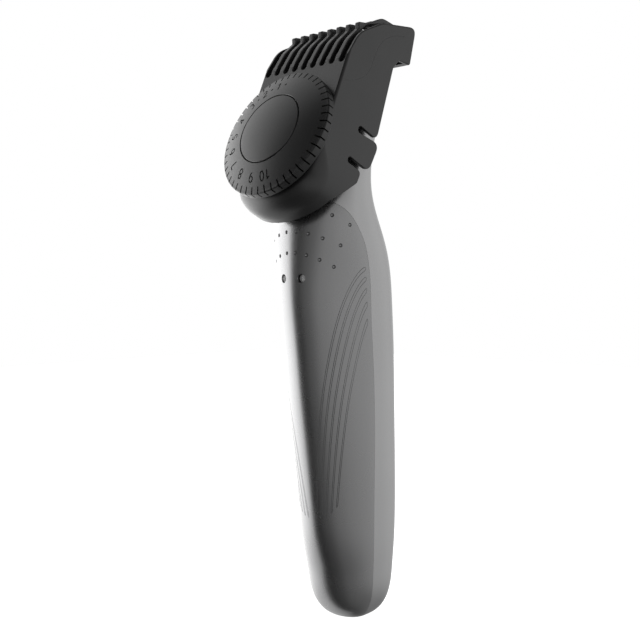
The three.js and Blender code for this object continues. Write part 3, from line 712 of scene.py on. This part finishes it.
def digit_strokes(digit):
    """Strokes of a digit in a box one wide and one high, as (points, closed), in two passes that
    may cross each other."""
    ring = (arc_points(0, 0.5, 0.42, 0.5, 0, 345, 24), True)
    flag = ([(-0.28, 0.76), (0.08, 1.0), (0.08, 0.0)], False)
    return {
        0: ([ring], []),
        1: ([flag], []),
        2: ([(arc_points(0, 0.72, 0.4, 0.28, 170, -35) + [(-0.44, 0), (0.46, 0)], False)], []),
        3: ([(arc_points(-0.03, 0.75, 0.37, 0.25, 150, -80), False)],
            [(arc_points(-0.03, 0.26, 0.42, 0.26, 80, -150), False)]),
        4: ([([(0.46, 0.27), (-0.46, 0.27), (0.2, 1.0)], False)], [([(0.2, 0.94), (0.2, 0)], False)]),
        5: ([([(0.38, 1.0), (-0.3, 1.0), (-0.38, 0.52)] + arc_points(-0.02, 0.31, 0.42, 0.31, 125, -145),
              False)], []),
        6: ([(arc_points(0, 0.3, 0.41, 0.3, 0, 345, 20), True)],
            [(arc_points(0.35, 0.32, 0.77, 0.68, 178, 105), False)]),
        7: ([([(-0.42, 1.0), (0.42, 1.0), (-0.12, 0)], False)], []),
        8: ([(arc_points(0, 0.27, 0.42, 0.27, 0, 345, 20), True)],
            [(arc_points(0, 0.76, 0.35, 0.24, 0, 345, 20), True)]),
        9: ([(arc_points(0, 0.7, 0.41, 0.3, 0, 345, 20), True)],
            [(arc_points(-0.35, 0.68, 0.77, 0.68, -2, -75), False)]),
    }[digit]


def on_dial(across, up, angle):
    """A numeral's own point put on the dome at an angle counted anticlockwise from the top."""
    x = -NUMERAL_RADIUS * math.sin(angle) + across * math.cos(angle) - up * math.sin(angle)
    z = NUMERAL_RADIUS * math.cos(angle) + across * math.sin(angle) + up * math.cos(angle)
    return np.array([x, dome_height(math.hypot(x, z)), z])


def dome_normal(point):
    normal = np.array([point[0] / DOME_RADIUS, -1.0, point[2] / DOME_RADIUS])
    return normal / np.linalg.norm(normal)


def stroke_tube(points, closed, shift, angle):
    path = [on_dial(shift + x * NUMERAL_WIDTH, (y - 0.5) * NUMERAL_HEIGHT, angle) for x, y in points]
    path = spaced(path, 0.22, closed)
    return tube(path, [dome_normal(p) for p in path], STROKE_HALF_WIDTH, STROKE_DEPTH, closed)


def scale_marks():
    """Cutters for the numerals 1 to 10 and the dots between the first four, in two passes."""
    passes = ([], [])
    for number in range(1, 11):
        angle = math.radians(NUMERAL_STEP * (number - 0.5))
        digits = [int(d) for d in str(number)]
        for i, digit in enumerate(digits):
            shift = (i - (len(digits) - 1) / 2) * NUMERAL_SPACING * NUMERAL_WIDTH
            for pieces, strokes in zip(passes, digit_strokes(digit)):
                pieces += [stroke_tube(points, closed, shift, angle) for points, closed in strokes]
    for step in range(3):
        point = on_dial(0, 0, math.radians(NUMERAL_STEP * step))
        passes[0].append(ball(point, DOT_RADIUS, 8, 12))
    return [together(f"scale_marks_{i}", pieces) for i, pieces in enumerate(passes)]


def notch_cutters():
    """Thin slits around the dial's edge, on the face and down the side."""
    low, high = dome_height(19.2) - 1, DIAL_BACK - 0.8
    pieces = []
    for i in range(NOTCH_COUNT):
        angle = (i + 0.5) * 2 * math.pi / NOTCH_COUNT
        c, s = math.cos(angle), math.sin(angle)
        vertices = []
        for y in (low, high):
            for r, half in (NOTCH_INNER, NOTCH_FULL, NOTCH_OUTER):
                vertices.append((r * s + half * c, y, r * c - half * s))
            for r, half in (NOTCH_OUTER, NOTCH_FULL, NOTCH_INNER):
                vertices.append((r * s - half * c, y, r * c + half * s))
        faces = [tuple(range(6)), tuple(range(6, 12))]
        faces += [(j, (j + 1) % 6, 6 + (j + 1) % 6, 6 + j) for j in range(6)]
        pieces.append((np.array(vertices), faces))
    return together("notch_cutters", pieces)


def make_dial(materials):
    groove = CAP_RADIUS + CAP_GROOVE
    edge = DIAL_EDGE
    face = [(r, dome_height(r)) for r in np.linspace(groove + 0.12, DIAL_RADIUS - edge, 16)]
    corner_y = dome_height(DIAL_RADIUS - edge) + edge
    rim = [(DIAL_RADIUS - edge + edge * math.sin(a), corner_y - edge * math.cos(a))
           for a in np.linspace(0.25, math.pi / 2, 7)]
    back = [(DIAL_RADIUS, DIAL_BACK - 0.35), (DIAL_RADIUS - 0.35, DIAL_BACK)] + DIAL_BACK_PROFILE
    front = [(0.05, DIAL_WEB_FRONT), (groove, DIAL_WEB_FRONT), (groove, dome_height(groove) + 0.12)]
    wheel = lathe("dial_wheel_skin", front + face + rim + back, 288)
    combine(wheel, notch_cutters(), "DIFFERENCE")
    for marks in scale_marks():
        combine(wheel, marks, "DIFFERENCE", "EXACT")
    settle(wheel, HEAD_FRAME, "comb_dial", materials["black_matte"], ["dial_wheel"])
    top = [(r, dome_height(r)) for r in np.linspace(0.05, CAP_RADIUS - 0.15, 20)]
    side = [(CAP_RADIUS, dome_height(CAP_RADIUS) + 0.15), (CAP_RADIUS, CAP_BACK), (0.05, CAP_BACK)]
    cap = lathe("dial_cap_skin", top + side, 192)
    settle(cap, HEAD_FRAME, "comb_dial", materials["black_matte"], ["dial_cap"])


# ---- Comb hood ------------------------------------------------------------------------------------
# Side plate in y and z of the head frame, with its hook, two notches and the tab between. The last
# number of each corner is the roundness of the plate's edge there.
PLATE = [(5.6, -27, 0, 0.4), (5.6, 27.4, 12, 0.4), (7.6, 36.5, 12, 0.45), (15.9, 45.9, 12, 0.7),
         (31.8, 55.1, 2.4, 0.9), (33.6, 41.6, 0.8, 0.5), (28.0, 39.7, 0.6, 0.3), (26.4, 35.8, 1.5, 0.35),
         (28.3, 10.2, 2.4, 0.35), (19.0, 10.2, 1.1, 0.3), (19.0, 7.8, 1.1, 0.3), (30.0, 9.6, 2.6, 0.35),
         (28.8, -1.0, 3.4, 0.35), (18.4, -1.0, 0.95, 0.3), (18.4, -3.1, 0.95, 0.3), (25.6, -2.7, 1.8, 0.35),
         (25.2, -7.0, 2.2, 0.35), (17.3, -17.2, 2, 0.4), (14.9, -27, 0, 0.4)]
RIB_OUTER = [(5.62, 20), (5.62, 27.4, 12), (7.1, 34.8, 12), (9.9, 40.6, 0.25), (9.05, 42.3, 0.7),
             (13.0, 44.5, 5), (18.6, 50.4, 6), (29.6, 53.2, 0)]
RIB_INNER = [(29.6, 52.2), (20.2, 49.3, 6), (12.6, 43.4, 4), (9.2, 35.6, 6), (7.36, 27.4, 10), (7.36, 20)]
CAVITY = [(7.4, -40), (7.4, 27.4, 10), (9.0, 35.6, 6), (12.6, 43.4, 4), (20.2, 49.0, 6), (31.1, 52.4, 1.2),
          (31.1, 20), (60, 20), (60, -40)]
MOULD_LINE = [(5.4, 18.6), (8.5, 19.9), (12.1, 22.4), (15.8, 27.3), (16.6, 34.1), (17.9, 39.9), (21.5, 44.6),
              (27.1, 48.2)]


def chin_outline(half, radius, top):
    """Front view of the hood's body: straight sides that blend into an arc about the dial's axis."""
    angles = np.radians(np.linspace(-180, 0, 121))
    side = half / np.maximum(np.abs(np.cos(angles)), 1e-6)
    reach = (side ** -CHIN_BLEND + radius ** -CHIN_BLEND) ** (-1 / CHIN_BLEND)
    arc = np.column_stack([reach * np.cos(angles), reach * np.sin(angles)])
    return np.vstack([arc, [(half, top)], [(-half, top)]])


def plate_prism():
    outline = rounded_outline([c[:3] for c in PLATE], 10)
    corners = np.array([c[:2] for c in PLATE])
    rims = np.array([c[3] for c in PLATE])
    weight = 1 / (np.linalg.norm(outline[:, None] - corners[None], axis=2) ** 2 + 0.5)
    rim = (weight * rims).sum(1) / weight.sum(1)
    return prism("comb_hood_skin", outline, -HOOD_HALF, HOOD_HALF, "x", rim, rim, 6)


def slot_cutters():
    """Slots with round lower ends whose front edges are eased."""
    pieces = []
    for i in range(SLOT_COUNT):
        x = (i - (SLOT_COUNT - 1) / 2) * RIB_PITCH
        outermost = i in (0, SLOT_COUNT - 1)
        centre = x + math.copysign(OUTER_SLOT_SHIFT, x) if outermost else x
        half = OUTER_SLOT_HALF if outermost else (RIB_PITCH - RIB_WIDTH) / 2
        ends = arc_points(centre, SLOT_BOTTOM + half, half, half, 180, 360, 13)
        outline = ends + [(centre + half, WINDOW_BOTTOM + 1), (centre - half, WINDOW_BOTTOM + 1)]
        cutter = prism("slot", outline, HOOD_FRONT, 12, "y", -0.3, 0)
        pieces.append(cutter)
    return pieces


def make_hood(materials):
    hood = plate_prism()
    outline = chin_outline(HOOD_HALF, CHIN_RADIUS, 70)
    share = np.clip(-outline[:, 1] / CHIN_EDGE_REACH, 0, 1)
    edge = CHIN_EDGE + CHIN_ROUNDING * share ** 2 * (3 - 2 * share)
    chin = prism("chin", outline, HOOD_FRONT - 0.02, 60, "y", edge, 0, 10)
    combine(hood, chin, "INTERSECT")
    cavity = prism("cavity", rounded_outline(CAVITY), -HOOD_INNER_HALF, HOOD_INNER_HALF, "x")
    inner_outline = chin_outline(HOOD_INNER_HALF, CHIN_RADIUS - CHIN_WALL, 70)
    inner_chin = prism("inner_chin", inner_outline, HOOD_FRONT + CHIN_WALL, 70, "y",
                       np.minimum(edge, CHIN_INNER_ROUNDING), 0, 10)
    combine(cavity, inner_chin, "INTERSECT")
    combine(hood, cavity, "DIFFERENCE")
    window = block("window", (-HOOD_INNER_HALF, -5, WINDOW_BOTTOM), (HOOD_INNER_HALF, WINDOW_REAR, 70))
    combine(hood, window, "DIFFERENCE")
    for cutter in slot_cutters():
        combine(hood, cutter, "DIFFERENCE")
    rib_outline = np.vstack([rounded_outline(RIB_OUTER, 12), rounded_outline(RIB_INNER, 12)])
    for i in range(SLOT_COUNT - 1):
        x = (i - (SLOT_COUNT - 2) / 2) * RIB_PITCH
        rib = prism("rib", rib_outline, x - RIB_WIDTH / 2, x + RIB_WIDTH / 2, "x", 0.35, 0.35)
        combine(hood, rib, "UNION")
    for side in (-1, 1):
        x0, x1 = sorted(side * x for x in RAIL_X)
        combine(hood, block("rail", (x0, RAIL_Y[0], RAIL_Z[0]), (x1, RAIL_Y[1], RAIL_Z[1])), "UNION")
    hole = [(0.05, 0), (BOSS_HOLE_RADIUS, 0), (BOSS_HOLE_RADIUS, 12), (0.05, 12)]
    combine(hood, lathe("boss_hole", hole, 64), "DIFFERENCE")
    line = curve_through(MOULD_LINE, 0.7)
    grooves = []
    for side in (-1, 1):
        points = np.column_stack([np.full(len(line), side * (HOOD_HALF + 0.05)), line])
        grooves.append(tube(points, np.tile([side, 0, 0], (len(line), 1)), 0.2, 0.12, False))
    combine(hood, together("mould_lines", grooves), "DIFFERENCE")
    settle(hood, HEAD_FRAME, "comb_hood", materials["black_matte"], ["comb_hood"])


# ---- Studio ---------------------------------------------------------------------------------------
CAMERA_AIM = (0.0039, -0.0201, 0.1006)
CAMERA_AZIMUTH = math.radians(42.62)
CAMERA_ELEVATION = math.radians(1.914)
CAMERA_DISTANCE = 0.3
CAMERA_LENS = 52.3


def make_camera():
    data = bpy.data.cameras.new("camera")
    data.lens = CAMERA_LENS
    data.sensor_width = 36
    data.clip_start = 0.01
    camera = bpy.data.objects.new("camera", data)
    bpy.context.scene.collection.objects.link(camera)
    level = CAMERA_DISTANCE * math.cos(CAMERA_ELEVATION)
    away = Vector((level * math.sin(CAMERA_AZIMUTH), -level * math.cos(CAMERA_AZIMUTH),
                   CAMERA_DISTANCE * math.sin(CAMERA_ELEVATION)))
    camera.location = Vector(CAMERA_AIM) + away
    camera.rotation_euler = (-away).to_track_quat("-Z", "Y").to_euler()
    bpy.context.scene.camera = camera


# Brightness of the studio by direction around the object, in degrees from -Y towards +X.
STUDIO_AROUND = [(-180, 0.95), (-150, 0.9), (-115, 3.2), (-75, 4.2), (-50, 3.4), (-41, 0.1), (-25, 0.08),
                 (0, 0.35), (40, 0.8), (77, 0.95), (110, 1.02), (137, 1.08), (160, 1.2), (180, 0.95)]
STUDIO_BY_HEIGHT = [(-90, 0.15), (-40, 0.35), (-10, 0.9), (12, 0.95), (32, 0.36), (60, 0.2), (90, 0.2)]


def value_ramp(nodes, stops, low, high):
    """A colour ramp that holds brightness against degrees from low to high, scaled to its largest stop."""
    ramp = nodes.new("ShaderNodeValToRGB")
    ramp.color_ramp.interpolation = "EASE"
    peak = max(value for _, value in stops)
    elements = ramp.color_ramp.elements
    while len(elements) < len(stops):
        elements.new(0.5)
    for element, (degrees, value) in zip(elements, stops):
        element.position = (degrees - low) / (high - low)
        element.color = (value / peak, value / peak, value / peak, 1)
    return ramp, peak


def math_node(nodes, links, operation, first, second=None):
    node = nodes.new("ShaderNodeMath")
    node.operation = operation
    for socket, value in zip(node.inputs, (first, second)):
        if value is None:
            continue
        if isinstance(value, (int, float)):
            socket.default_value = value
        else:
            links.new(value, socket)
    return node.outputs["Value"]


def make_world():
    """Large soft panels all round as a smooth function of direction, seen by the camera as white."""
    world = bpy.data.worlds.new("studio")
    bpy.context.scene.world = world
    world.use_nodes = True
    nodes, links = world.node_tree.nodes, world.node_tree.links
    nodes.clear()
    place = nodes.new("ShaderNodeTexCoord")
    split = nodes.new("ShaderNodeSeparateXYZ")
    links.new(place.outputs["Generated"], split.inputs["Vector"])
    x, y, z = (split.outputs[axis] for axis in "XYZ")
    around = math_node(nodes, links, "ARCTAN2", x, math_node(nodes, links, "MULTIPLY", y, -1))
    around = math_node(nodes, links, "ADD", math_node(nodes, links, "DIVIDE", around, 2 * math.pi), 0.5)
    rise = math_node(nodes, links, "DIVIDE", math_node(nodes, links, "ARCSINE", z), math.pi)
    rise = math_node(nodes, links, "ADD", rise, 0.5)
    around_ramp, around_peak = value_ramp(nodes, STUDIO_AROUND, -180, 180)
    height_ramp, height_peak = value_ramp(nodes, STUDIO_BY_HEIGHT, -90, 90)
    links.new(around, around_ramp.inputs["Fac"])
    links.new(rise, height_ramp.inputs["Fac"])
    product = math_node(nodes, links, "MULTIPLY", around_ramp.outputs["Color"], height_ramp.outputs["Color"])
    strength = math_node(nodes, links, "MULTIPLY", product, around_peak * height_peak)
    lit = nodes.new("ShaderNodeBackground")
    lit.inputs["Color"].default_value = (1, 1, 1, 1)
    links.new(strength, lit.inputs["Strength"])
    white = nodes.new("ShaderNodeBackground")
    white.inputs["Color"].default_value = (1, 1, 1, 1)
    path = nodes.new("ShaderNodeLightPath")
    mix = nodes.new("ShaderNodeMixShader")
    links.new(path.outputs["Is Camera Ray"], mix.inputs["Fac"])
    links.new(lit.outputs["Background"], mix.inputs[1])
    links.new(white.outputs["Background"], mix.inputs[2])
    output = nodes.new("ShaderNodeOutputWorld")
    links.new(mix.outputs["Shader"], output.inputs["Surface"])
    bpy.context.scene.view_settings.view_transform = "Standard"


def make_floor():
    """A plain pale floor, bright enough to run into the white backdrop."""
    floor = make_object("floor", [(-1, -1, 0), (1, -1, 0), (1, 1, 0), (-1, 1, 0)], [(0, 1, 2, 3)])
    material, nodes, links, shader = new_material("pale_floor")
    shader.inputs["Roughness"].default_value = 0.9
    shader.inputs["Emission Strength"].default_value = 1.0
    shade = shade_between(nodes, links, noise(nodes, links, 20), (0.97, 0.97, 0.97), (1, 1, 1))
    links.new(shade, shader.inputs["Base Color"])
    links.new(shade, shader.inputs["Emission Color"])
    floor.data.materials.append(material)
    floor.visible_diffuse = False
    floor.visible_glossy = False


make_camera()
make_world()
make_floor()
materials = make_materials()
paint_cad_nodes(materials)
make_shells(materials)
make_power_button(materials)
make_dial(materials)
make_hood(materials)
